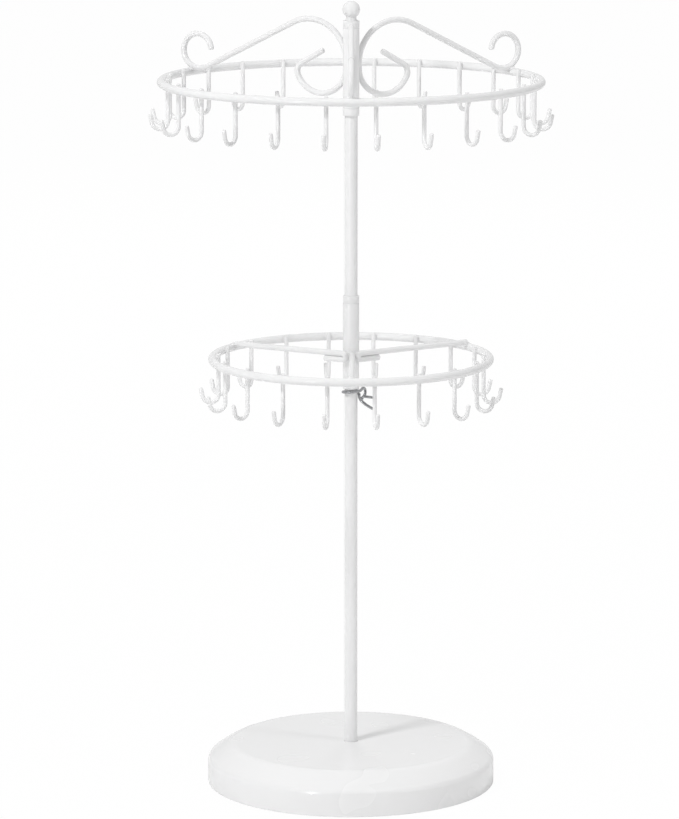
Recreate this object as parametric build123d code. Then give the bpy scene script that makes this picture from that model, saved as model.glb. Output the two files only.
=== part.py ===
from build123d import *
import math
import os

# Two-tier rotating necklace stand. Millimetres, +Z up.
# The origin is on the table, under the middle of the base. The front scroll and the front arm point along -Y.

# Wires. They are drawn with six flats, which lie at the real diameter, and their bends in short facets.
ring_wire = 4.2
scroll_wire = 3.0
arm_wire = 3.0
hook_wire = 2.2
clip_wire = 1.5
wire_sides = 6
scroll_facet_turn = 18.0
short_bend_facet_turn = 34.0
clip_facet_turn = 16.0
weld_gap = 0.05

# Base
base_radius = 75.0
base_height = 21.2
base_wall_height = 13.5
base_skin = 2.5
shoulder_width = 12.4
plateau_edge_radius = 7.0
base_edge_radius = 3.4
base_edge_bands = 2
base_rim_gap = 0.3
pad_inset = 1.5
pad_thickness = 1.5
weight_thickness = 9.0
weight_clearance = 0.2

# Pole
stand_height = 410.0
pole_diameter = 6.7
pole_hole_clearance = 0.1
pole_spigot_radius = 2.5
pole_spigot_length = 8.5
pole_tapping_depth = 10.0
thread_clearance = 0.04

# Finial
finial_radius = 4.6
finial_bands = 7
finial_neck_radius = 2.6
finial_neck_height = 0.9
finial_stud_radius = 1.4
finial_stud_reach = 8.0
stud_clearance = 0.1

# Turning sleeves. A bush in each end has a collar that covers the end of the metal tube.
sleeve_wall = 0.4
sleeve_length = 48.8
collar_length = 3.8
bush_wall = 0.37
bush_length = 10.8
bush_running_clearance = 0.08
bearing_gap = 0.1
cap_depth = 6.3

# Rings
top_ring_radius = 97.3
top_ring_drop = 31.2
lower_ring_radius = 71.8
lower_ring_z = 224.8
lower_sleeve_drop = 15.7

# Scrolls of the top tier. A scroll's curl lies over the ring at its angle, and its loop is welded
# to the sleeve at its seat angle. The two side scrolls sit rather behind the sleeve.
scroll_angles = (-90.0, 30.0, 150.0)
scroll_seat_angles = (-90.0, 45.0, 115.0)
scroll_slope_angle = 26.4
shoulder_radius = 20.9
curl_inset = 5.7
curl_entry_radius = 12.5
curl_entry_turn = 26.0
curl_radius = 9.1
curl_turn = 137.0
curl_tip_radius = 8.0
curl_tip_turn = 134.0
sleeve_contact_length = 2.7
loop_radius = 14.2
loop_turn = 100.0
loop_side_radius = 14.6
loop_side_turn = 56.0
loop_bend_radius = 4.8
loop_bend_turn = 84.0
loop_tail_length = 15.0

# Arms of the lower tier, welded to the inside of the ring a little above its middle
arm_angles = (-90.0, 30.0, 150.0)
arm_rise = 2.5
arm_fold_length = 13.0
arm_fold_gap = 0.3

# Hooks
hook_rise = 2.6
hook_drop = 23.1
hook_bend_radius = 4.2
hook_flare_angle = 12.0
hook_tip_length = 4.5
top_place_count = 24
top_empty_index = 12
lower_place_count = 18

# Spring clip under the lower sleeve. From the upper leg its wire curls back, rises in an eye, wraps the pole
# clockwise and ends in the lower leg.
# Each point gives X from the wrap, Y from the axis and Z from the top turn.
clip_grip_clearance = 0.05
clip_wrap_start = -42.0
clip_wrap_turn = 312.0
clip_wrap_drop = 2.2
clip_upper_tip = (8.0, -0.2, -3.9)
clip_upper_bend = (2.9, 0.0, -3.35)
clip_curl = (1.3, 1.25, -4.9)
clip_curl_direction = (-0.1, 1.0, 0.1)
clip_eye_side = (3.2, 2.5, -1.7)
clip_eye_side_direction = (0.05, -0.1, 1.0)
clip_eye_crest = (2.0, 0.6, 1.05)
clip_eye_crest_direction = (-0.7, -0.74, 0.0)
clip_eye_foot = (0.8, -0.8, 0.0)
clip_eye_foot_direction = (-0.63, -0.7, -0.3)
clip_lower_turn = (0.3, -1.5, -3.95)
clip_lower_turn_direction = (0.35, -0.55, -0.8)
clip_lower_bend = (1.35, -2.5, -5.35)
clip_lower_tip = (8.0, -3.1, -9.75)
clip_least_gap = 0.4

# Places worked out from the sizes above
pole_radius = pole_diameter / 2
bush_bore_radius = pole_radius + bush_running_clearance
sleeve_bore_radius = bush_bore_radius + bush_wall
sleeve_radius = sleeve_bore_radius + sleeve_wall
plateau_radius = base_radius - shoulder_width
weight_radius = base_radius - base_skin - weight_clearance
pad_radius = base_radius - base_skin - pad_inset
weight_z = pad_thickness
weight_top_z = weight_z + weight_thickness
top_sleeve_top_z = stand_height - 2 * finial_radius - finial_neck_height
top_sleeve_z = top_sleeve_top_z - sleeve_length
pole_top_z = top_sleeve_top_z - cap_depth
top_ring_z = top_sleeve_top_z - top_ring_drop
lower_sleeve_z = lower_ring_z - lower_sleeve_drop
scroll_curl_x = top_ring_radius - curl_inset


def cylinder(radius, low, high):
    """Upright cylinder on the axis of the stand, from height low to height high."""
    return Pos(0, 0, low) * Cylinder(radius, high - low, align=(Align.CENTER, Align.CENTER, Align.MIN))


def tube(outer, inner, low, high):
    return cylinder(outer, low, high) - cylinder(inner, low, high)


def around(shape, angle, radius=0.0):
    """The shape moved out by radius along +X and then turned about the axis of the stand."""
    return Rot(0, 0, angle) * Pos(radius, 0, 0) * shape


# Base

def base_outline(radius, wall_height, flat_radius, height, floor):
    """Corners of half the base: an upright wall, a sloping shoulder and a flat top."""
    return [(0, height), (flat_radius, height), (radius, wall_height), (radius, floor), (0, floor), (0, height)]


def banded(edge):
    """Points of the edge in order, with each rounding turned into flat bands."""
    points = []
    for side in edge.order_edges():
        bands = base_edge_bands if side.geom_type == GeomType.CIRCLE else 1
        points += [side @ (band / bands) for band in range(bands)]
    return points


def base_cover():
    outline = base_outline(base_radius, base_wall_height, plateau_radius, base_height, base_rim_gap)
    edge = FilletPolyline(*outline[:4], radius=[plateau_edge_radius, base_edge_radius])
    outside = make_face(Polyline(*banded(edge), *outline[3:]))
    inner_radius = base_radius - base_skin
    inner_wall_height = base_wall_height - base_skin / 2
    inner_flat_radius = plateau_radius - base_skin / 2
    inner_height = base_height - base_skin
    inside = Polyline(*base_outline(inner_radius, inner_wall_height, inner_flat_radius, inner_height, 0))
    shell = revolve(Plane.XZ * outside, Axis.Z) - revolve(Plane.XZ * make_face(inside), Axis.Z)
    return shell - cylinder(pole_radius + pole_hole_clearance, 0, base_height + 1)


def base_weight():
    """Steel disc that fills the lower part of the cover. The pole is screwed into it."""
    return tube(weight_radius, pole_spigot_radius + thread_clearance, weight_z, weight_top_z)


def base_pad():
    return cylinder(pad_radius, 0, pad_thickness)


# Pole and finial

def pole():
    """Steel rod. Its foot is turned down and screwed into the weight. Its top is tapped for the finial."""
    rod = cylinder(pole_radius, weight_top_z, pole_top_z)
    rod += cylinder(pole_spigot_radius, weight_top_z - pole_spigot_length, weight_top_z)
    return rod - cylinder(finial_stud_radius + thread_clearance, pole_top_z - pole_tapping_depth, pole_top_z)


def finial():
    """Ball turned in narrow bands, on a short neck. Its stud passes through the cap bush into the pole."""
    tilts = [math.radians(90.0 - 180.0 * index / finial_bands) for index in range(finial_bands + 1)]
    middle = stand_height - finial_radius
    rim = [(finial_radius * math.cos(tilt), middle + finial_radius * math.sin(tilt)) for tilt in tilts]
    ball = revolve(Plane.XZ * make_face(Polyline(*rim, close=True)), Axis.Z)
    neck = cylinder(finial_neck_radius, top_sleeve_top_z + bearing_gap, middle)
    stud = cylinder(finial_stud_radius, pole_top_z - finial_stud_reach, top_sleeve_top_z + bearing_gap)
    return ball + neck + stud


# Sleeves and bushes

def sleeve(low):
    return tube(sleeve_radius, sleeve_bore_radius, low + collar_length, low + sleeve_length - collar_length)


def foot_bush(low):
    collar = tube(sleeve_radius, bush_bore_radius, low, low + collar_length)
    return collar + tube(sleeve_bore_radius, bush_bore_radius, low, low + bush_length)


def head_bush(high):
    collar = tube(sleeve_radius, bush_bore_radius, high - collar_length, high)
    return collar + tube(sleeve_bore_radius, bush_bore_radius, high - bush_length, high)


def cap_bush():
    """Closed head bush of the upper sleeve. It sits on the end of the pole and carries the tier."""
    high = top_sleeve_top_z
    cap = cylinder(sleeve_radius, high - collar_length, high)
    cap += cylinder(sleeve_bore_radius, high - bush_length, high)
    cap -= cylinder(bush_bore_radius, 0, pole_top_z + bearing_gap)
    return cap - cylinder(finial_stud_radius + stud_clearance, 0, high)


# Wire pieces. Each route is drawn flat, X outwards and Y up, and the bent wire is then stood upright.

def wire_profile(wire):
    return RegularPolygon(wire / 2, wire_sides, major_radius=False, rotation=180.0 / wire_sides)


def wire_corner(wire):
    """Radius of the drawn wire at its corners."""
    return wire / 2 / math.cos(math.pi / wire_sides)


def wire_route(start, heading, legs, facet_turn):
    """Points along a wire that leaves start, through straight legs (length,) and bends (radius, turn).
    The points of a bend lie on its arc, and each facet turns by facet_turn at most."""
    x, y = start
    points = [start]
    for leg in legs:
        if len(leg) == 1:
            facets = [(leg[0], 0.0)]
        else:
            radius, turn = leg
            count = math.ceil(abs(turn) / facet_turn)
            chord = 2 * radius * math.sin(math.radians(abs(turn) / count / 2))
            facets = [(chord, turn / count)] * count
        for length, turn in facets:
            direction = math.radians(heading + turn / 2)
            x += length * math.cos(direction)
            y += length * math.sin(direction)
            heading += turn
            points.append((x, y))
    return points


def bent_wire(points, wire):
    """The wire along its route, with two of its flats square to the plane of the route."""
    path = Polyline(*points)
    direction = path % 0
    start = Plane(origin=path @ 0, x_dir=direction.cross(Vector(0, 0, 1)), z_dir=direction)
    section = start * wire_profile(wire)
    return Rot(90, 0, 0) * sweep(section, path=path, transition=Transition.RIGHT)


def ring(radius, height):
    section = Plane.XZ * Pos(radius, height) * wire_profile(ring_wire)
    return revolve(section, Axis.Z)


def hook(radius, height):
    """Stem welded to the inside of the ring, bent outwards under it into a J with a flared tip."""
    top = (radius - ring_wire / 2 - hook_wire / 2 - weld_gap, height + hook_rise)
    legs = [
        (hook_rise + hook_drop - hook_bend_radius,),
        (hook_bend_radius, 180.0 - hook_flare_angle),
        (hook_tip_length,),
    ]
    return bent_wire(wire_route(top, -90.0, legs, short_bend_facet_turn), hook_wire)


def scroll_layout(start_x):
    """Height at which a scroll meets its sleeve, and the length of its straight slope.
    The slope is long enough to bring the curl over the ring, and the curl rests on the ring."""
    slope = math.radians(scroll_slope_angle)
    entry = math.radians(curl_entry_turn - scroll_slope_angle)
    reach = curl_radius + scroll_wire / 2 + wire_corner(ring_wire) + weld_gap
    curl_z = top_ring_z + math.sqrt(reach**2 - curl_inset**2)
    step = curl_entry_radius - curl_radius
    bends = shoulder_radius + curl_entry_radius
    run = scroll_curl_x - start_x - shoulder_radius - bends * math.sin(slope)
    length = (run - step * math.sin(entry)) / math.cos(slope)
    rise = bends * math.cos(slope) - step * math.cos(entry)
    return curl_z - rise + length * math.sin(slope), length


def scroll(start_x):
    """One wire: tail, loop against the sleeve, shoulder, slope, and the curl that rests on the ring."""
    contact_z, slope_length = scroll_layout(start_x)
    start = (start_x, contact_z)
    rising = [
        (shoulder_radius, -90.0 - scroll_slope_angle),
        (slope_length,),
        (curl_entry_radius, curl_entry_turn),
        (curl_radius, curl_turn),
        (curl_tip_radius, curl_tip_turn),
    ]
    falling = [
        (sleeve_contact_length,),
        (loop_radius, loop_turn),
        (loop_side_radius, loop_side_turn),
        (loop_bend_radius, loop_bend_turn),
        (loop_tail_length,),
    ]
    outer = wire_route(start, 90.0, rising, scroll_facet_turn)
    inner = wire_route(start, -90.0, falling, scroll_facet_turn)
    return bent_wire(inner[:0:-1] + outer, scroll_wire)


def seated_scroll(angle, seat_angle):
    """A scroll swung about its curl until its loop meets the sleeve at seat_angle."""
    aside_angle = seat_angle - angle
    half_wire = wire_corner(scroll_wire) * math.cos(math.radians(aside_angle % 60.0 - 30.0))
    seat = sleeve_radius + half_wire + weld_gap
    out = scroll_curl_x - seat * math.cos(math.radians(aside_angle))
    aside = seat * math.sin(math.radians(aside_angle))
    swung = Rot(0, 0, -math.degrees(math.atan2(aside, out))) * Pos(-scroll_curl_x, 0, 0)
    return around(swung * scroll(scroll_curl_x - math.hypot(out, aside)), angle, scroll_curl_x)


def arm():
    """Straight wire from the inside of the lower ring, folded back under itself at the sleeve."""
    fold_radius = (arm_wire + arm_fold_gap) / 2
    fold_x = sleeve_radius + weld_gap + arm_wire / 2 + fold_radius
    tip = (lower_ring_radius - ring_wire / 2 - weld_gap, lower_ring_z + arm_rise)
    legs = [(tip[0] - fold_x,), (fold_radius, 180.0), (arm_fold_length,)]
    return bent_wire(wire_route(tip, 180.0, legs, short_bend_facet_turn), arm_wire)


# Spring clip

def biarc(start, start_direction, end, end_direction):
    """Two arcs that leave start and reach end in the given directions, and meet smoothly."""
    chord = end - start
    both = start_direction + end_direction
    a = 2 * (1 - start_direction.dot(end_direction))
    b = 2 * chord.dot(both)
    c = -chord.dot(chord)
    if a < 1e-9:
        reach = -c / b
    else:
        reach = (-b + math.sqrt(b * b - 4 * a * c)) / (2 * a)
    middle = (start + start_direction * reach + end - end_direction * reach) / 2
    first = TangentArc(start, middle, tangent=start_direction)
    second = TangentArc(middle, end, tangent=first % 1)
    return [first, second]


def smooth_arcs(stations):
    """Arcs through the stations, each a point and the wire's direction there."""
    edges = []
    for (start, out), (end, into) in zip(stations, stations[1:]):
        edges += biarc(start, out.normalized(), end, into.normalized())
    return edges


def clip_stations():
    """Stations of the clip between its legs, from the upper leg's bend to the lower leg's."""
    corner = wire_corner(clip_wire)
    radius = pole_radius + clip_grip_clearance + corner
    wrap = Vector(radius, 0, lower_sleeve_z - bearing_gap - corner)
    upper_tip = wrap + Vector(clip_upper_tip)
    upper_bend = wrap + Vector(clip_upper_bend)
    lower_bend = wrap + Vector(clip_lower_bend)
    lower_tip = wrap + Vector(clip_lower_tip)
    stations = [
        (upper_bend, upper_bend - upper_tip),
        (wrap + Vector(clip_curl), Vector(clip_curl_direction)),
        (wrap + Vector(clip_eye_side), Vector(clip_eye_side_direction)),
        (wrap + Vector(clip_eye_crest), Vector(clip_eye_crest_direction)),
        (wrap + Vector(clip_eye_foot), Vector(clip_eye_foot_direction)),
    ]
    slope = clip_wrap_drop / (radius * math.radians(clip_wrap_turn))
    stretches = math.ceil(clip_wrap_turn / 90.0)
    for index in range(stretches + 1):
        share = index / stretches
        angle = math.radians(clip_wrap_start - clip_wrap_turn * share)
        point = Vector(radius * math.cos(angle), radius * math.sin(angle), wrap.Z - clip_wrap_drop * share)
        stations.append((point, Vector(math.sin(angle), -math.cos(angle), -slope)))
    stations.append((wrap + Vector(clip_lower_turn), Vector(clip_lower_turn_direction)))
    stations.append((lower_bend, lower_tip - lower_bend))
    return upper_tip, stations, lower_tip


def faceted(edges, facet_turn):
    """Points along the edges. They lie on the arcs, and each facet turns by facet_turn at most."""
    points = [edges[0] @ 0]
    for edge in edges:
        turn = (edge % 0).get_angle(edge % 1)
        facets = max(1, math.ceil(turn / facet_turn))
        points += [edge @ (step / facets) for step in range(1, facets + 1)]
    return points


def clip_spring():
    """The wire, left as its sweep made it, and its path."""
    upper_tip, stations, lower_tip = clip_stations()
    legs = [Line(upper_tip, stations[0][0]), Line(stations[-1][0], lower_tip)]
    path = Polyline(*faceted(legs[:1] + smooth_arcs(stations) + legs[1:], clip_facet_turn))
    section = Plane(origin=path @ 0, z_dir=path % 0) * wire_profile(clip_wire)
    return sweep(section, path=path, transition=Transition.RIGHT, clean=False), path


def least_self_gap(path, wire):
    """Least space between stretches of the wire that are well apart along it."""
    steps = 400
    points = [path @ (index / steps) for index in range(steps + 1)]
    apart = math.ceil(4 * wire / path.length * steps)
    least = min(
        (points[i] - points[j]).length for i in range(0, steps + 1, 2) for j in range(i + apart, steps + 1, 2)
    )
    return least - wire


# Assembly

def hook_angles(place_count, first_arm):
    """Angles of evenly spaced hook places. The first is half a space past the front arm or scroll."""
    return [first_arm + (index + 0.5) * 360.0 / place_count for index in range(place_count)]


def hooks_between(arm, next_arm, angles, radius, height):
    """The hooks of one third of a ring, between an arm or scroll and the next one counter-clockwise."""
    single = hook(radius, height)
    third = (next_arm - arm) % 360.0
    return [around(single, angle) for angle in angles if 0 < (angle - arm) % 360.0 < third]


top_hook_angles = hook_angles(top_place_count, scroll_angles[0])
del top_hook_angles[top_empty_index]
lower_hook_angles = hook_angles(lower_place_count, arm_angles[0])

pieces = {
    "base_cover": base_cover(),
    "base_weight": base_weight(),
    "base_pad": base_pad(),
    "pole": pole(),
    "finial": finial(),
    "top_sleeve": sleeve(top_sleeve_z),
    "top_cap_bush": cap_bush(),
    "top_foot_bush": foot_bush(top_sleeve_z),
    "top_ring": ring(top_ring_radius, top_ring_z),
    "lower_sleeve": sleeve(lower_sleeve_z),
    "lower_head_bush": head_bush(lower_sleeve_z + sleeve_length),
    "lower_foot_bush": foot_bush(lower_sleeve_z),
    "lower_ring": ring(lower_ring_radius, lower_ring_z),
}
plain_arm = arm()
for index in range(3):
    place = ("front", "right", "left")[index]
    pieces["scroll_" + place] = seated_scroll(scroll_angles[index], scroll_seat_angles[index])
    pieces["arm_" + place] = around(plain_arm, arm_angles[index])
    side = ("right", "back", "left")[index]
    scroll_pair = (scroll_angles[index], scroll_angles[(index + 1) % 3])
    top_hooks = hooks_between(*scroll_pair, top_hook_angles, top_ring_radius, top_ring_z)
    pieces["top_hooks_" + side] = top_hooks
    arm_pair = (arm_angles[index], arm_angles[(index + 1) % 3])
    lower_hooks = hooks_between(*arm_pair, lower_hook_angles, lower_ring_radius, lower_ring_z)
    pieces["lower_hooks_" + side] = lower_hooks

pieces["clip_spring"], clip_path = clip_spring()
clip_gap = least_self_gap(clip_path, clip_wire)
print("clip spring: least gap to itself %.2f mm, allowed %.2f mm" % (clip_gap, clip_least_gap))

os.makedirs("parts", exist_ok=True)
for name, shape in pieces.items():
    members = shape if isinstance(shape, list) else [shape]
    solids = [solid for member in members for solid in member.solids()]
    export_step(Compound(children=solids), "parts/" + name + ".step")
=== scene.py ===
"""White two-tier necklace stand that turns: its finished pieces, coats and studio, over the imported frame.
Metres, +Z up, front towards -Y."""
import math

import bpy
from mathutils import Matrix, Vector


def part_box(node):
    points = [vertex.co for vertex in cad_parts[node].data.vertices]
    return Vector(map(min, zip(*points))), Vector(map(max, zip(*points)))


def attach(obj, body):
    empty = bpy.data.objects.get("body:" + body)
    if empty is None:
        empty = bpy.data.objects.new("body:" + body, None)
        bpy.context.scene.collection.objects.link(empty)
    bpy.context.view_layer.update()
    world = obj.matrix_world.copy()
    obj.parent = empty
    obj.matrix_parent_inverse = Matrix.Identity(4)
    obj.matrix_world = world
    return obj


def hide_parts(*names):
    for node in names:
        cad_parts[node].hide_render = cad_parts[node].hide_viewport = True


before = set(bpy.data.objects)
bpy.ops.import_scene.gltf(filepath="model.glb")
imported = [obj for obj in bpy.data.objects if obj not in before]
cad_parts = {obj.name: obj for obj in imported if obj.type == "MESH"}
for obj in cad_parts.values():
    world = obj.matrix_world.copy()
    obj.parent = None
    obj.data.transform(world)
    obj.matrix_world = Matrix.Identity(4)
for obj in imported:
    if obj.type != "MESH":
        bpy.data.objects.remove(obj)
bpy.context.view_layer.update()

# Wire gauges
RING_WIRE = 0.0042
SCROLL_WIRE = 0.0030
ARM_WIRE = 0.0030
HOOK_WIRE = 0.0022
CLIP_WIRE = 0.0015
WIRE_SIDES = 24
HOOK_SIDES = 20
CLIP_SIDES = 16
BEND_STEP = math.radians(7.0)

# Welds: how deep wires sink into each other, how far a bead stands out of the sleeve,
# and the half length, half width and half height of each kind of bead
WELD_SINK = 0.00005
BEAD_STAND_OFF = 0.0003
SCROLL_SEAT_BEAD = (0.0009, 0.0014, 0.0034)
CURL_BEAD = (0.0021, 0.0021, 0.0009)
ARM_SEAT_BEAD = (0.0010, 0.0016, 0.0026)
ARM_RING_BEAD = (0.0015, 0.0018, 0.0012)
HOOK_BEAD = (0.0007, 0.0013, 0.0017)

# Smoothing: faces that meet at less than this many degrees run into each other
TURNED_SMOOTHING = 40.0
COVER_SMOOTHING = 35.0
WIRE_SMOOTHING = 60.0
ROUND_SMOOTHING = 80.0

# Places closer than this are the same place
NEAR = 0.00001

# Base
COVER_SIDES = 256
WALL_HEIGHT = 0.0135
SHOULDER_WIDTH = 0.0124
SHOULDER_SWELL = 0.0007
SHOULDER_ROUNDING = 0.0038
PLATEAU_ROUNDING = 0.0022
WALL_ROUNDING = 0.0019
FOOT_ROUNDING = 0.0004
HOLE_ROUNDING = 0.0004
COVER_SKIN = 0.0025
CAVITY_DEPTH = 0.0110
HOLE_CLEARANCE = 0.00012

# Pole, sleeves and their collars
TUBE_SIDES = 64
POLE_RIM = 0.0003
BORE_CLEARANCE = 0.00008
TUBE_EDGE = 0.00012
COLLAR_EDGE = 0.0002

# Rings, each with a butt weld that is a little thicker than the wire
RING_STEPS = 288
RING_SIDES = 28
RING_WELD_ANGLE = 97.5
RING_WELD_REACH = 0.0012
RING_WELD_SWELL = 0.00012

# Scrolls: where each curl lies over the ring, and where its loop is welded to the sleeve
SCROLL_SEATS = (("front", -90.0, -90.0), ("right", 30.0, 45.0), ("left", 150.0, 115.0))
SCROLL_SLOPE = 26.4
SHOULDER_BEND = 0.0216
CURL_INSET = 0.0057
CURL_BENDS = ((0.0125, 26.0), (0.0091, 137.0), (0.0080, 134.0))
LOOP_START = 0.0019
LOOP_BENDS = ((0.0146, 100.0), (0.0150, 56.0), (0.0048, 84.0))
LOOP_TAIL = 0.0150
SCROLL_END = 0.55

# Arms: where each end meets the ring, its height there, and where its fold is welded to the sleeve
ARM_SEATS = (
    ("front", -90.0, 0.0018, -83.0),
    ("right", 30.0, 0.0029, -47.0),
    ("left", 150.0, 0.0018, 238.0),
)
ARM_FOLD_RISE = 0.0033
ARM_BITE = 0.0016
ARM_FOLD_LENGTH = 0.0115
ARM_FOLD_GAP = 0.00005
ARM_BEAD_INSET = 0.0013
ARM_BEAD_RISE = 0.0016
ARM_BEAD_TILT = -35.0
ARM_END = 0.3

# Hooks
HOOK_RISE = 0.0026
HOOK_DROP = 0.0231
HOOK_BEND = 0.0042
HOOK_FLARE = 12.0
HOOK_TIP = 0.0045
HOOK_END = 0.6
TOP_PLACES = 24
TOP_EMPTY_PLACE = 12
LOWER_PLACES = 18

# Spring clip: X from its wrap, Y across, Z from its highest turn
CLIP_WRAP_START = -42.0
CLIP_WRAP_TURN = 312.0
CLIP_WRAP_DROP = 0.0022
CLIP_WRAP_STEPS = 4
CLIP_GRIP_GAP = 0.0001
CLIP_SEAT_GAP = 0.0001
CLIP_UPPER_TIP = Vector((0.0080, -0.0002, -0.0040))
CLIP_UPPER_BEND = Vector((0.0029, 0.0, -0.0034))
CLIP_EYE = (
    (Vector((0.0013, 0.00125, -0.0050)), Vector((-0.1, 1.0, 0.1))),
    (Vector((0.0032, 0.0025, -0.0018)), Vector((0.05, -0.1, 1.0))),
    (Vector((0.0020, 0.0006, 0.00095)), Vector((-0.7, -0.74, 0.0))),
    (Vector((0.0008, -0.0008, 0.0)), Vector((-0.63, -0.7, -0.3))),
)
CLIP_LOWER = (
    (Vector((0.0003, -0.0015, -0.0040)), Vector((0.35, -0.55, -0.8))),
    (Vector((0.00135, -0.0025, -0.0054)), Vector((0.75, -0.2, -0.62))),
    (Vector((0.0046, -0.0028, -0.0079)), Vector((0.86, -0.05, -0.5))),
)
CLIP_LOWER_LEG = 0.0039
CLIP_END = 0.45

# Finial
BALL_SIDES = 48
BALL_STEPS = 22
BALL_TOP = 89.0
NECK_RADIUS = 0.0026
NECK_FOOT = 0.0006
NECK_FILLET = 0.0002
NECK_FILLET_HEIGHT = 0.0003
NECK_SEAT_GAP = 0.0001

# The photograph's camera
CAMERA_PLACE = (0.0, -2.2537, 0.6088)
CAMERA_TILT = 79.67
CAMERA_ROLL = 0.152
CAMERA_LENS = 194.15
CAMERA_SENSOR = 36.0
CAMERA_REACH = 50.0

# Studio. A white share is how much of the surface the rays see as plain white.
FLOOR_SIZE = 12.0
FLOOR_WHITE_SHARE = 0.98
CURTAIN_PLACE = (0, -3.2, 1.0)
CURTAIN_SIZE = (3.2, 2.0, 1.0)
SKY_LIGHT = 0.52
SKY_WHITE_SHARE = 1.0
SKY_MIRRORED_SHARE = 0.33

# Softboxes: name, place, aim, width, height, power, and whether the coats show their glare
LAMPS = (
    ("key_left", (-0.9, -0.9, 1.92), (0, 0, 0.1), 0.32, 0.32, 20.0, False),
    ("strip_left", (-0.85, -1.45, 0.25), (0, 0, 0.18), 0.1, 0.9, 6.0, True),
    ("fill_right", (1.5, -0.65, 1.0), (0, 0, 0.2), 0.4, 0.4, 5.6, False),
    ("back_light", (0, 2.0, 1.3), (0, 0, 0), 1.4, 1.4, 14.0, False),
)


def low(node):
    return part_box(node)[0]


def high(node):
    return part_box(node)[1]


# Places read from the frame
base_radius = high("base_cover").x
base_top = high("base_cover").z
base_foot = low("base_cover").z
pole_radius = high("pole").x
stand_top = high("finial").z
sleeve_radius = high("top_sleeve").x
top_sleeve_low = low("top_foot_bush").z
top_sleeve_high = high("top_cap_bush").z
lower_sleeve_low = low("lower_foot_bush").z
lower_sleeve_high = high("lower_head_bush").z
collar_length = low("top_sleeve").z - low("top_foot_bush").z
top_ring_radius = high("top_ring").x - RING_WIRE / 2
top_ring_z = (low("top_ring").z + high("top_ring").z) / 2
lower_ring_radius = high("lower_ring").x - RING_WIRE / 2
lower_ring_z = (low("lower_ring").z + high("lower_ring").z) / 2


# Modelling by hand: small wrappers round Blender's own tools

def deselect():
    bpy.ops.object.select_all(action="DESELECT")


def pick(*pieces):
    deselect()
    for piece in pieces:
        piece.select_set(True)
    bpy.context.view_layer.objects.active = pieces[0]


def edit(kind="FACE"):
    bpy.ops.object.mode_set(mode="EDIT")
    bpy.ops.mesh.select_mode(type=kind)


def leave():
    bpy.ops.object.mode_set(mode="OBJECT")


def select_faces(piece, test):
    """Selects the faces whose middle and normal pass the test, and stays in edit mode."""
    edit("FACE")
    bpy.ops.mesh.select_all(action="DESELECT")
    leave()
    for face in piece.data.polygons:
        face.select = test(face)
    edit("FACE")


def select_edges(piece, test):
    """Selects the edges whose two ends pass the test, and stays in edit mode."""
    edit("EDGE")
    bpy.ops.mesh.select_all(action="DESELECT")
    leave()
    points = piece.data.vertices
    for edge in piece.data.edges:
        edge.select = all(test(points[end].co) for end in edge.vertices)
    edit("EDGE")


def settle(piece, angle=TURNED_SMOOTHING):
    """Puts the piece's place into its mesh, turns its faces outwards and smooths it."""
    pick(piece)
    bpy.ops.object.transform_apply(location=True, rotation=True, scale=True)
    edit("FACE")
    bpy.ops.mesh.select_all(action="SELECT")
    bpy.ops.mesh.normals_make_consistent(inside=False)
    leave()
    bpy.ops.object.shade_smooth_by_angle(angle=math.radians(angle))
    return piece


def copied_round(piece, angle, name):
    """A copy of the piece with its own mesh, turned about the axis of the stand."""
    pick(piece)
    bpy.ops.object.duplicate(linked=False)
    twin = bpy.context.object
    twin.name = name
    twin.rotation_euler.z = math.radians(angle)
    bpy.ops.object.transform_apply(location=True, rotation=True, scale=True)
    return twin


def joined(pieces, name):
    pick(*pieces)
    bpy.ops.object.join()
    whole = bpy.context.object
    whole.name = name
    return whole


def discard(piece):
    pick(piece)
    bpy.ops.object.delete()


def turned(name, profile, sides):
    """A turned piece. The profile runs up the outside as (radius, height)."""
    radius, z = profile[0]
    deselect()
    bpy.ops.mesh.primitive_circle_add(vertices=sides, radius=radius, fill_type="NGON", location=(0, 0, z))
    piece = bpy.context.object
    piece.name = name
    edit("FACE")
    bpy.ops.mesh.select_all(action="SELECT")
    for next_radius, next_z in profile[1:]:
        bpy.ops.mesh.extrude_region_move(TRANSFORM_OT_translate={"value": (0, 0, next_z - z)})
        grow = next_radius / radius
        bpy.ops.transform.resize(value=(grow, grow, 1), center_override=(0, 0, next_z))
        radius, z = next_radius, next_z
    leave()
    return settle(piece)


def low_point(piece):
    return min(point.co.z for point in piece.data.vertices)


def bored(piece, radius):
    """Bores the piece right through along the axis of the stand."""
    foot = low_point(piece)
    size = max(point.co.xy.length for point in piece.data.vertices if point.co.z - foot < NEAR)
    pick(piece)
    select_faces(piece, lambda face: len(face.vertices) > 4)
    bpy.ops.mesh.inset(thickness=size - radius, use_even_offset=False)
    bpy.ops.mesh.delete(type="ONLY_FACE")
    select_edges(piece, lambda point: abs(point.xy.length - radius) < NEAR)
    bpy.ops.mesh.bridge_edge_loops()
    leave()
    return settle(piece)


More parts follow.
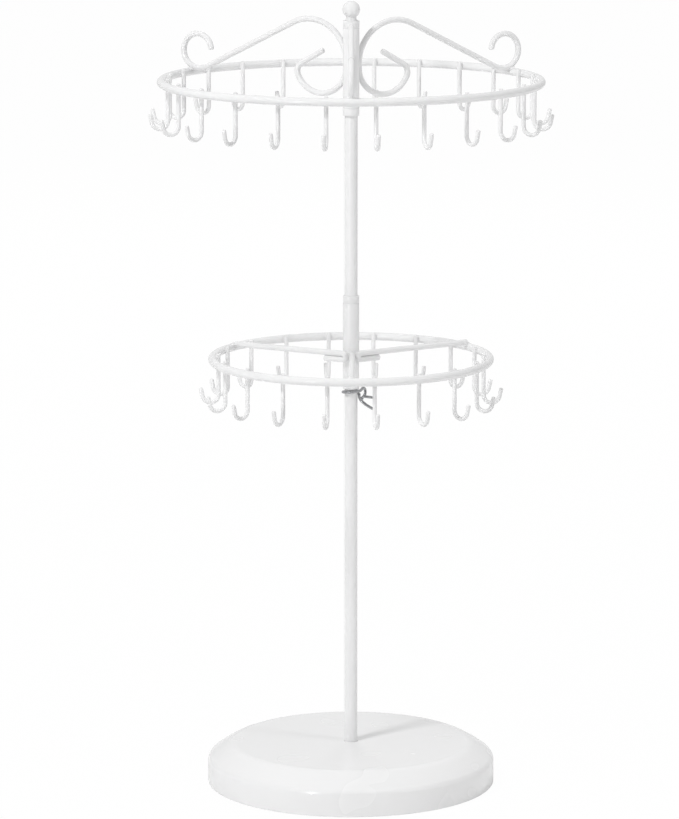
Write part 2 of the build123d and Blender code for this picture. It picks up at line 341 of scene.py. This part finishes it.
class Wire:
    """Round wire bent on a jig. Each call adds the next stretch to its free end."""

    def __init__(self, name, gauge, place, heading, sides=WIRE_SIDES):
        self.radius = gauge / 2
        self.place = Vector(place)
        self.heading = Vector(heading).normalized()
        deselect()
        facing = self.heading.to_track_quat("Z", "Y").to_euler()
        bpy.ops.mesh.primitive_circle_add(
            vertices=sides, radius=self.radius, fill_type="NGON", location=self.place, rotation=facing)
        self.piece = bpy.context.object
        self.piece.name = name
        edit("FACE")
        bpy.ops.mesh.select_all(action="SELECT")

    def straight(self, length):
        step = self.heading * length
        bpy.ops.mesh.extrude_region_move(TRANSFORM_OT_translate={"value": step})
        self.place = self.place + step

    def swing(self, centre, axis, angle):
        """Swings the free end round an axis, as a bending pin does."""
        steps = max(2, math.ceil(abs(angle) / BEND_STEP))
        bpy.ops.mesh.spin(steps=steps, angle=-angle, center=centre, axis=axis, use_auto_merge=False)
        turn = Matrix.Rotation(angle, 3, axis)
        self.place = centre + turn @ (self.place - centre)
        self.heading = turn @ self.heading

    def bend(self, radius, turn):
        """A bend in the upright plane through the axis, to the left where turn is more than 0."""
        left = Vector((-self.heading.z, 0, self.heading.x))
        centre = self.place + left * math.copysign(radius, turn)
        self.swing(centre, Vector((0, -1, 0)), math.radians(turn))

    def arc_to(self, goal):
        """The one arc that leaves along the heading and ends at the goal."""
        chord = goal - self.place
        along = chord.dot(self.heading)
        aside = chord - self.heading * along
        radius = chord.length_squared / (2 * aside.length)
        centre = self.place + aside.normalized() * radius
        self.swing(centre, self.heading.cross(aside).normalized(), 2 * math.atan2(aside.length, along))

    def follow(self, legs):
        """Straight legs are (length,) and bends are (radius, turn)."""
        for leg in legs:
            if len(leg) == 1:
                self.straight(*leg)
            else:
                self.bend(*leg)

    def cut(self, rounding):
        """Cuts the wire off and rounds both ends by a share of its radius."""
        leave()
        select_faces(self.piece, lambda face: len(face.vertices) > 4)
        bpy.ops.mesh.bevel(offset=self.radius * rounding, segments=4, affect="EDGES")
        leave()
        return settle(self.piece, WIRE_SMOOTHING)


def bead(name, radius, turn, z, size, tilt=0.0):
    """A weld under its coat: a round blob, drawn out along the wires that it joins."""
    angle = math.radians(turn)
    deselect()
    bpy.ops.mesh.primitive_ico_sphere_add(
        subdivisions=3, radius=1.0, location=(radius * math.cos(angle), radius * math.sin(angle), z))
    piece = bpy.context.object
    piece.name = name
    piece.scale = size
    piece.rotation_euler = (0, math.radians(tilt), angle)
    return settle(piece, ROUND_SMOOTHING)


# Shader maths

class Value:
    """A shader socket that sums can be written with."""

    def __init__(self, coat, socket):
        self.coat = coat
        self.socket = socket

    def sum(self, operation, first, second):
        return self.coat.add("ShaderNodeMath", {"operation": operation}, first, second)

    def __add__(self, other):
        return self.sum("ADD", self, other)

    def __radd__(self, other):
        return self.sum("ADD", other, self)

    def __mul__(self, other):
        return self.sum("MULTIPLY", self, other)

    def __rmul__(self, other):
        return self.sum("MULTIPLY", other, self)


class Coat:
    """A material and its Principled shader. Constants go on the shader's own sockets."""

    def __init__(self, name, **constants):
        self.material = bpy.data.materials.new(name)
        self.material.use_nodes = True
        self.tree = self.material.node_tree
        self.shader = self.tree.nodes["Principled BSDF"]
        for label, value in constants.items():
            self.shader.inputs[label.replace("_", " ")].default_value = value
        self.place = self.add("ShaderNodeTexCoord", {}, output="Object")

    def add(self, kind, settings, *inputs, output=0, **named):
        """Adds a node, sets it, and fills its inputs with values or sockets, by order or by name."""
        node = self.tree.nodes.new(kind)
        for key, value in settings.items():
            setattr(node, key, value)
        labelled = [(label.replace("_", " "), value) for label, value in named.items()]
        for key, value in [*enumerate(inputs), *labelled]:
            if isinstance(value, Value):
                self.tree.links.new(value.socket, node.inputs[key])
            else:
                node.inputs[key].default_value = value
        return Value(self, node.outputs[output])

    def noise(self, scale, detail=2.0, roughness=0.5):
        return self.add(
            "ShaderNodeTexNoise", {}, Vector=self.place, Scale=scale, Detail=detail, Roughness=roughness)

    def between(self, share, first, second):
        """A colour between two, by a share from 0 to 1."""
        mixer = self.add("ShaderNodeMix", {"data_type": "RGBA"}, output=2)
        node = mixer.socket.node
        self.tree.links.new(share.socket, node.inputs[0])
        node.inputs[6].default_value = (*first, 1)
        node.inputs[7].default_value = (*second, 1)
        return mixer

    def relief(self, height, distance, strength=1.0):
        return self.add("ShaderNodeBump", {}, Strength=strength, Distance=distance, Height=height)

    def feed(self, **inputs):
        for label, value in inputs.items():
            self.tree.links.new(value.socket, self.shader.inputs[label.replace("_", " ")])
        return self.material


def powder_white():
    """Semi-gloss white powder coat with its faint orange peel."""
    coat = Coat("powder_white", Specular_IOR_Level=0.5)
    peel = coat.noise(620.0, 2.0) + coat.noise(190.0, 1.0) * 0.6
    cloud = coat.noise(26.0, 3.0)
    return coat.feed(
        Base_Color=coat.between(cloud, (0.80, 0.80, 0.805), (0.86, 0.86, 0.86)),
        Roughness=coat.noise(90.0, 2.0) * 0.08 + 0.20,
        Normal=coat.relief(peel, 0.00005, 0.35),
    )


def gloss_white():
    """Glossy white moulded cover: almost flat, with a long faint ripple and broad duller patches."""
    coat = Coat("gloss_white", Specular_IOR_Level=0.5, Coat_Roughness=0.05)
    ripple = coat.noise(14.0, 1.0)
    dull = coat.noise(45.0, 1.0)
    return coat.feed(
        Base_Color=coat.between(coat.noise(9.0, 2.0), (0.83, 0.83, 0.835), (0.87, 0.87, 0.87)),
        Roughness=dull * 0.08 + 0.22,
        Coat_Weight=coat.noise(40.0, 2.0) * 0.2 + 0.35,
        Normal=coat.relief(ripple, 0.0004, 0.25),
    )


def bush_white():
    """Moulded nylon of the collars, a touch duller than the coat beside it."""
    coat = Coat("bush_white", Specular_IOR_Level=0.45)
    return coat.feed(
        Base_Color=coat.between(coat.noise(300.0, 2.0), (0.80, 0.80, 0.805), (0.85, 0.85, 0.85)),
        Roughness=coat.noise(500.0, 2.0) * 0.12 + 0.32,
        Normal=coat.relief(coat.noise(1500.0, 2.0), 0.00002, 0.4),
    )


def chrome():
    """Spring wire with fine drawing marks and a few duller patches; its colour is darkened throughout as a
    painted dark reflection.
    """
    coat = Coat("chrome", Metallic=1.0)
    dull = coat.noise(700.0, 3.0, 0.6)
    return coat.feed(
        # Painted dark reflection: both colours sit far below bright chrome so the wire looks as if it mirrors
        # a dark studio; the noise between them is random tone.
        Base_Color=coat.between(dull, (0.24, 0.25, 0.26), (0.62, 0.62, 0.64)),
        Roughness=dull * 0.16 + 0.09,
        Normal=coat.relief(coat.noise(2600.0, 2.0), 0.00001, 0.4),
    )


def weight_iron():
    """Raw cast iron, sandy, with rust in the low spots."""
    coat = Coat("weight_iron", Metallic=0.6)
    sand = coat.noise(900.0, 4.0, 0.65)
    rust = coat.noise(70.0, 4.0, 0.6)
    return coat.feed(
        Base_Color=coat.between(rust, (0.10, 0.10, 0.105), (0.19, 0.15, 0.125)),
        Roughness=sand * 0.25 + 0.55,
        Normal=coat.relief(sand, 0.0002, 0.7),
    )


def pad_rubber():
    """Pale foam rubber with open pores."""
    coat = Coat("pad_rubber", Specular_IOR_Level=0.3)
    pores = coat.add("ShaderNodeTexVoronoi", {}, Vector=coat.place, Scale=900.0)
    grain = coat.noise(420.0, 3.0)
    return coat.feed(
        Base_Color=coat.between(grain, (0.66, 0.66, 0.65), (0.76, 0.76, 0.75)),
        Roughness=grain * 0.15 + 0.75,
        Normal=coat.relief(pores, 0.0002, 0.6),
    )


coats = {
    make.__name__: make()
    for make in (powder_white, gloss_white, bush_white, chrome, weight_iron, pad_rubber)
}


def dress(piece, body, slot, *nodes):
    """Gives a finished piece its coat and its body, and hides the nodes that it stands for."""
    piece.data.materials.clear()
    piece.data.materials.append(coats[slot])
    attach(piece, body)
    if nodes:
        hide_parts(*nodes)


# Base, pole and finial

def base_cover():
    """The moulded cover, from a disc: its shoulder inset and raised, its edges rounded, hollow from below."""
    deselect()
    bpy.ops.mesh.primitive_cylinder_add(
        vertices=COVER_SIDES, radius=base_radius, depth=WALL_HEIGHT - base_foot,
        location=(0, 0, (WALL_HEIGHT + base_foot) / 2), end_fill_type="NGON")
    piece = bpy.context.object
    piece.name = "base_cover_moulding"
    pick(piece)
    bpy.ops.object.transform_apply(location=True, rotation=True, scale=True)
    rise = base_top - WALL_HEIGHT
    hole_radius = pole_radius + HOLE_CLEARANCE
    select_faces(piece, lambda face: face.normal.z > 0.9)
    for lift in (rise / 2 + SHOULDER_SWELL, rise / 2 - SHOULDER_SWELL):
        bpy.ops.mesh.inset(thickness=SHOULDER_WIDTH / 2, use_even_offset=False)
        bpy.ops.transform.translate(value=(0, 0, lift))
    bpy.ops.mesh.inset(thickness=base_radius - SHOULDER_WIDTH - hole_radius, use_even_offset=False)
    bpy.ops.mesh.extrude_region_move(TRANSFORM_OT_translate={"value": (0, 0, -COVER_SKIN)})
    leave()
    select_faces(piece, lambda face: face.normal.z < -0.9)
    bpy.ops.mesh.inset(thickness=COVER_SKIN, use_even_offset=False)
    bpy.ops.mesh.extrude_region_move(TRANSFORM_OT_translate={"value": (0, 0, CAVITY_DEPTH)})
    leave()
    plateau_radius = base_radius - SHOULDER_WIDTH
    middle_height = WALL_HEIGHT + rise / 2 + SHOULDER_SWELL
    edges = (
        (plateau_radius, base_top, PLATEAU_ROUNDING, 8),
        (base_radius - SHOULDER_WIDTH / 2, middle_height, SHOULDER_ROUNDING, 6),
        (base_radius, WALL_HEIGHT, WALL_ROUNDING, 8),
        (base_radius, base_foot, FOOT_ROUNDING, 4),
        (hole_radius, base_top, HOLE_ROUNDING, 4),
    )
    for radius, height, rounding, steps in edges:
        select_edges(piece, lambda p: abs(p.xy.length - radius) < NEAR and abs(p.z - height) < NEAR)
        bpy.ops.mesh.bevel(offset=rounding, segments=steps, affect="EDGES")
        leave()
    settle(piece, COVER_SMOOTHING)
    normals = piece.modifiers.new("normals", "WEIGHTED_NORMAL")
    normals.keep_sharp = True
    bpy.ops.object.modifier_apply(modifier=normals.name)
    return piece


def finial():
    """Ball on a short necked shank, turned from bar."""
    ball_radius = high("finial").x
    middle = stand_top - ball_radius
    neck_low = top_sleeve_high + NECK_SEAT_GAP
    profile = [
        (NECK_RADIUS + NECK_FOOT, neck_low),
        (NECK_RADIUS + NECK_FILLET, neck_low + NECK_FILLET_HEIGHT),
    ]
    start = -math.degrees(math.acos(NECK_RADIUS / ball_radius))
    for step in range(BALL_STEPS):
        tilt = math.radians(start + (BALL_TOP - start) * step / (BALL_STEPS - 1))
        profile.append((ball_radius * math.cos(tilt), middle + ball_radius * math.sin(tilt)))
    return turned("finial_ball", profile, BALL_SIDES)


def pole():
    """Plain rod up from the weight, its top edge broken."""
    foot = high("base_weight").z
    top = high("pole").z
    profile = [(pole_radius, foot), (pole_radius, top - POLE_RIM), (pole_radius - POLE_RIM, top)]
    return turned("pole_rod", profile, TUBE_SIDES)


# Sleeves and their collars

def barrel(name, foot, top, edge):
    """A short tube round the pole with a small rounding at each end."""
    radius = sleeve_radius
    profile = [(radius - edge, foot), (radius - 0.3 * edge, foot + 0.3 * edge), (radius, foot + edge)]
    profile += [(radius, top - edge), (radius - 0.3 * edge, top - 0.3 * edge), (radius - edge, top)]
    return bored(turned(name, profile, TUBE_SIDES), pole_radius + BORE_CLEARANCE)


def sleeve(tier, foot, top, head):
    """Coated tube between the collars of its two bushes. The head names the upper bush."""
    tube = barrel(tier + "_sleeve_tube", foot + collar_length, top - collar_length, TUBE_EDGE)
    dress(tube, tier + "_tier", "powder_white", tier + "_sleeve")
    heel = barrel(tier + "_foot_collar", foot, foot + collar_length, COLLAR_EDGE)
    dress(heel, tier + "_tier", "bush_white", tier + "_foot_bush")
    crown = barrel(tier + "_head_collar", top - collar_length, top, COLLAR_EDGE)
    dress(crown, tier + "_tier", "bush_white", head)


# Rings

def ring(tier, radius, z):
    """A wire ring, closed with a butt weld that was dressed off and coated over."""
    deselect()
    bpy.ops.mesh.primitive_torus_add(
        major_segments=RING_STEPS, minor_segments=RING_SIDES,
        major_radius=radius, minor_radius=RING_WIRE / 2, location=(0, 0, z))
    piece = bpy.context.object
    piece.name = tier + "_ring_wire"
    settle(piece, ROUND_SMOOTHING)
    weld = math.radians(RING_WELD_ANGLE)
    select_edges(piece, lambda p: abs(math.atan2(p.y, p.x) - weld) * radius < RING_WELD_REACH)
    bpy.ops.transform.shrink_fatten(value=RING_WELD_SWELL)
    leave()
    dress(piece, tier + "_tier", "powder_white", tier + "_ring")


# Scrolls

def swung(pivot_x, seat, angle, seat_angle):
    """The distance from a wire's pivot on the ring to its seat, and the turn that lays it between them."""
    aside_angle = math.radians(seat_angle - angle)
    out = pivot_x - seat * math.cos(aside_angle)
    aside = seat * math.sin(aside_angle)
    about_pivot = Matrix.Rotation(-math.atan2(aside, out), 4, "Z") @ Matrix.Translation((-pivot_x, 0, 0))
    place = Matrix.Rotation(math.radians(angle), 4, "Z") @ Matrix.Translation((pivot_x, 0, 0)) @ about_pivot
    return math.hypot(out, aside), place


def scroll_layout(start_x):
    """Height where a scroll leaves its sleeve, the length of its slope and the height of its curl."""
    (entry_radius, entry_turn), (curl_radius, _), _ = CURL_BENDS
    slope = math.radians(SCROLL_SLOPE)
    entry = math.radians(entry_turn - SCROLL_SLOPE)
    reach = curl_radius + SCROLL_WIRE / 2 + RING_WIRE / 2 - WELD_SINK
    curl_z = top_ring_z + math.sqrt(reach**2 - CURL_INSET**2)
    step = entry_radius - curl_radius
    bends = SHOULDER_BEND + entry_radius
    run = top_ring_radius - CURL_INSET - start_x - SHOULDER_BEND - bends * math.sin(slope)
    length = (run - step * math.sin(entry)) / math.cos(slope)
    rise = bends * math.cos(slope) - step * math.cos(entry)
    return curl_z - rise + length * math.sin(slope), length, curl_z


def scroll(side, angle, seat_angle):
    """One wire in one run: tail, loop, shoulder, slope and curl. It is swung about its curl to its seat."""
    curl_x = top_ring_radius - CURL_INSET
    seat = sleeve_radius + SCROLL_WIRE / 2 - WELD_SINK
    length, swing = swung(curl_x, seat, angle, seat_angle)
    start_x = curl_x - length
    contact_z, slope_length, curl_z = scroll_layout(start_x)
    place, heading = Vector((start_x, contact_z)), -90.0
    for leg in [(LOOP_START,), *LOOP_BENDS, (LOOP_TAIL,)]:
        place, heading = walked(place, heading, leg)
    back = math.radians(heading + 180.0)
    wire = Wire("scroll", SCROLL_WIRE, (place.x, 0, place.y), (math.cos(back), 0, math.sin(back)))
    wire.follow([(LOOP_TAIL,), *[(radius, -turn) for radius, turn in reversed(LOOP_BENDS)], (LOOP_START,)])
    wire.follow([(SHOULDER_BEND, -90.0 - SCROLL_SLOPE), (slope_length,), *CURL_BENDS])
    piece = wire.cut(SCROLL_END)
    piece.matrix_world = swing
    settle(piece, WIRE_SMOOTHING)
    seat_z = contact_z - LOOP_START / 2
    sleeve_weld = bead("scroll_weld", sleeve_radius + BEAD_STAND_OFF, seat_angle, seat_z, SCROLL_SEAT_BEAD)
    rest = Vector((-CURL_INSET, curl_z - top_ring_z)).normalized() * RING_WIRE / 2
    ring_weld = bead(
        "curl_weld", top_ring_radius + rest.x, angle, top_ring_z + rest.y, CURL_BEAD,
        math.degrees(math.atan2(rest.x, rest.y)))
    return joined([piece, sleeve_weld, ring_weld], "scroll_%s_wire" % side)


def walked(place, heading, leg):
    """Where a leg of a flat route ends, and its heading there in degrees."""
    if len(leg) == 1:
        angle = math.radians(heading)
        return place + Vector((math.cos(angle), math.sin(angle))) * leg[0], heading
    radius, turn = leg
    chord = 2 * radius * math.sin(math.radians(abs(turn)) / 2)
    angle = math.radians(heading + turn / 2)
    return place + Vector((math.cos(angle), math.sin(angle))) * chord, heading + turn


# Arms

def arm(side, angle, rise, seat_angle):
    """Straight wire from the inside of the lower ring to the front of the sleeve, folded back under itself."""
    fold_radius = (ARM_WIRE + ARM_FOLD_GAP) / 2
    tip = Vector((lower_ring_radius - ARM_BITE, 0, lower_ring_z + rise))
    seat = sleeve_radius + ARM_WIRE / 2 - WELD_SINK
    length, swing = swung(tip.x, seat, angle, seat_angle)
    wire = Wire("arm", ARM_WIRE, tip, (-length, 0, ARM_FOLD_RISE - rise))
    wire.follow([(length - fold_radius,), (fold_radius, 180.0), (ARM_FOLD_LENGTH,)])
    piece = wire.cut(ARM_END)
    piece.matrix_world = swing
    settle(piece, WIRE_SMOOTHING)
    fold_z = lower_ring_z + ARM_FOLD_RISE - fold_radius
    sleeve_weld = bead("arm_weld", sleeve_radius + BEAD_STAND_OFF, seat_angle, fold_z, ARM_SEAT_BEAD)
    ring_weld = bead(
        "arm_ring_weld", lower_ring_radius - ARM_BEAD_INSET, angle, lower_ring_z + ARM_BEAD_RISE,
        ARM_RING_BEAD, ARM_BEAD_TILT)
    return joined([piece, sleeve_weld, ring_weld], "arm_%s_wire" % side)


# Hooks

def hook(radius, z):
    """J hook on the inside of a ring, bent outwards under it, with its weld."""
    stem_x = radius - RING_WIRE / 2 - HOOK_WIRE / 2 + WELD_SINK
    wire = Wire("hook", HOOK_WIRE, (stem_x, 0, z + HOOK_RISE), (0, 0, -1), HOOK_SIDES)
    wire.follow([(HOOK_RISE + HOOK_DROP - HOOK_BEND,), (HOOK_BEND, 180.0 - HOOK_FLARE), (HOOK_TIP,)])
    piece = wire.cut(HOOK_END)
    weld = bead("hook_weld", radius - RING_WIRE / 2, 0.0, z, HOOK_BEAD)
    return joined([piece, weld], "hook_plain")


def hook_row(tier, radius, z, places, empty):
    """The hooks of one ring, gathered in the thirds between the wires that carry it."""
    plain = hook(radius, z)
    thirds = {"right": [], "back": [], "left": []}
    for place in range(places):
        if place == empty:
            continue
        side = tuple(thirds)[place * 3 // places]
        angle = -90.0 + (place + 0.5) * 360.0 / places
        thirds[side].append(copied_round(plain, angle, "%s_hook_%02d" % (tier, place + 1)))
    discard(plain)
    for side, hooks in thirds.items():
        row = joined(hooks, "%s_hooks_%s_wire" % (tier, side))
        dress(row, tier + "_tier", "powder_white", "%s_hooks_%s" % (tier, side))


# Spring clip

def biarc_middle(start, start_heading, end, end_heading):
    """Where two arcs meet smoothly between two places with given headings."""
    chord = end - start
    a = 2 * (1 - start_heading.dot(end_heading))
    b = 2 * chord.dot(start_heading + end_heading)
    c = -chord.length_squared
    reach = (-b + math.sqrt(b * b - 4 * a * c)) / (2 * a)
    return (start + start_heading * reach + end - end_heading * reach) / 2


def clip_wire():
    """One length of spring wire: upper leg, curl, eye, clockwise wrap round the pole, lower leg."""
    radius = pole_radius + CLIP_GRIP_GAP + CLIP_WIRE / 2
    top = lower_sleeve_low - CLIP_SEAT_GAP - CLIP_WIRE / 2
    centre = Vector((radius, 0, top))
    stations = [(centre + place, heading) for place, heading in CLIP_EYE]
    slope = CLIP_WRAP_DROP / (radius * math.radians(CLIP_WRAP_TURN))
    for step in range(CLIP_WRAP_STEPS + 1):
        share = step / CLIP_WRAP_STEPS
        angle = math.radians(CLIP_WRAP_START - CLIP_WRAP_TURN * share)
        place = Vector((radius * math.cos(angle), radius * math.sin(angle), top - CLIP_WRAP_DROP * share))
        stations.append((place, Vector((math.sin(angle), -math.cos(angle), -slope))))
    stations += [(centre + place, heading) for place, heading in CLIP_LOWER]
    leg = CLIP_UPPER_BEND - CLIP_UPPER_TIP
    wire = Wire("clip_spring_wire", CLIP_WIRE, centre + CLIP_UPPER_TIP, leg, CLIP_SIDES)
    wire.straight(leg.length)
    for place, heading in stations:
        wire.arc_to(biarc_middle(wire.place, wire.heading, place, heading.normalized()))
        wire.arc_to(place)
    wire.straight(CLIP_LOWER_LEG)
    return wire.cut(CLIP_END)


# Assembly

dress(base_cover(), "stand", "gloss_white", "base_cover")
dress(pole(), "stand", "powder_white", "pole")
dress(finial(), "stand", "powder_white", "finial")
for node, slot in (("base_weight", "weight_iron"), ("base_pad", "pad_rubber")):
    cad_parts[node].data.materials.clear()
    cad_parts[node].data.materials.append(coats[slot])

sleeve("top", top_sleeve_low, top_sleeve_high, "top_cap_bush")
sleeve("lower", lower_sleeve_low, lower_sleeve_high, "lower_head_bush")
ring("top", top_ring_radius, top_ring_z)
ring("lower", lower_ring_radius, lower_ring_z)

for side, angle, seat_angle in SCROLL_SEATS:
    dress(scroll(side, angle, seat_angle), "top_tier", "powder_white", "scroll_" + side)
for side, angle, rise, seat_angle in ARM_SEATS:
    dress(arm(side, angle, rise, seat_angle), "lower_tier", "powder_white", "arm_" + side)
hook_row("top", top_ring_radius, top_ring_z, TOP_PLACES, TOP_EMPTY_PLACE)
hook_row("lower", lower_ring_radius, lower_ring_z, LOWER_PLACES, None)
dress(clip_wire(), "clip", "chrome", "clip_spring")


# Studio

def ray_share(tree, kind, share):
    """A share that holds for one kind of ray and is nothing for the others."""
    rays = tree.nodes.new("ShaderNodeLightPath")
    part = tree.nodes.new("ShaderNodeMath")
    part.operation = "MULTIPLY"
    part.inputs[1].default_value = share
    tree.links.new(rays.outputs[kind], part.inputs[0])
    return part.outputs[0]


def whitened(tree, share, plain, white, output):
    """Sends a plain surface to the output, with a share of white over it."""
    mixer = tree.nodes.new("ShaderNodeMixShader")
    tree.links.new(share, mixer.inputs[0])
    tree.links.new(plain.outputs[0], mixer.inputs[1])
    tree.links.new(white.outputs[0], mixer.inputs[2])
    tree.links.new(mixer.outputs[0], output.inputs["Surface"])


def stage_sheet(name, cloth, grey, roughness, **plane):
    """A plane of the studio with its own plain material. Gives its node tree and shader."""
    deselect()
    bpy.ops.mesh.primitive_plane_add(**plane)
    piece = bpy.context.object
    piece.name = name
    material = bpy.data.materials.new(cloth)
    material.use_nodes = True
    shader = material.node_tree.nodes["Principled BSDF"]
    shader.inputs["Base Color"].default_value = (grey, grey, grey, 1)
    shader.inputs["Roughness"].default_value = roughness
    piece.data.materials.append(material)
    return piece, material.node_tree, shader


def floor():
    """Pale floor that stays near white to the camera and keeps the stand's shadow."""
    piece, tree, shader = stage_sheet(
        "studio_floor", "studio_floor_white", 0.85, 0.8, size=FLOOR_SIZE, location=(0, 0, 0))
    white = tree.nodes.new("ShaderNodeEmission")
    white.inputs["Color"].default_value = (1, 1, 1, 1)
    share = ray_share(tree, "Is Camera Ray", FLOOR_WHITE_SHARE)
    whitened(tree, share, shader, white, tree.nodes["Material Output"])


def curtain():
    """Dark curtain behind the camera, which bright metal and glossy coats mirror."""
    piece, _, _ = stage_sheet(
        "studio_curtain", "studio_curtain_cloth", 0.03, 0.9,
        size=1.0, location=CURTAIN_PLACE, rotation=(math.radians(90), 0, 0))
    piece.scale = CURTAIN_SIZE
    pick(piece)
    bpy.ops.object.transform_apply(location=True, rotation=True, scale=True)


def sky():
    """Even white studio: white to the camera, a little dimmer in reflections, gentler as light."""
    world = bpy.data.worlds.new("studio")
    bpy.context.scene.world = world
    world.use_nodes = True
    tree = world.node_tree
    light = tree.nodes["Background"]
    white = tree.nodes.new("ShaderNodeBackground")
    for source, strength in ((light, SKY_LIGHT), (white, 1.0)):
        source.inputs["Color"].default_value = (1, 1, 1, 1)
        source.inputs["Strength"].default_value = strength
    either = tree.nodes.new("ShaderNodeMath")
    either.operation = "MAXIMUM"
    tree.links.new(ray_share(tree, "Is Camera Ray", SKY_WHITE_SHARE), either.inputs[0])
    tree.links.new(ray_share(tree, "Is Glossy Ray", SKY_MIRRORED_SHARE), either.inputs[1])
    whitened(tree, either.outputs[0], light, white, tree.nodes["World Output"])


def lamp(name, place, aim, width, height, power, glare):
    """Softbox. Without glare it lights the coats and leaves no highlight on them."""
    light = bpy.data.lights.new(name, "AREA")
    light.shape = "RECTANGLE"
    light.size = width
    light.size_y = height
    light.energy = power
    holder = bpy.data.objects.new(name, light)
    holder.location = place
    holder.rotation_euler = (Vector(aim) - Vector(place)).to_track_quat("-Z", "Y").to_euler()
    holder.visible_glossy = glare
    bpy.context.collection.objects.link(holder)


def camera():
    """The camera that took the photograph, fitted to the ellipses of the rings and the base."""
    lens = bpy.data.cameras.new("photo_camera")
    lens.sensor_fit = "VERTICAL"
    lens.sensor_height = CAMERA_SENSOR
    lens.lens = CAMERA_LENS
    lens.clip_end = CAMERA_REACH
    holder = bpy.data.objects.new("photo_camera", lens)
    holder.location = CAMERA_PLACE
    holder.rotation_euler = (math.radians(CAMERA_TILT), 0, math.radians(CAMERA_ROLL))
    bpy.context.collection.objects.link(holder)
    bpy.context.scene.camera = holder


floor()
curtain()
sky()
for row in LAMPS:
    lamp(*row)
camera()
bpy.context.scene.view_settings.view_transform = "Standard"
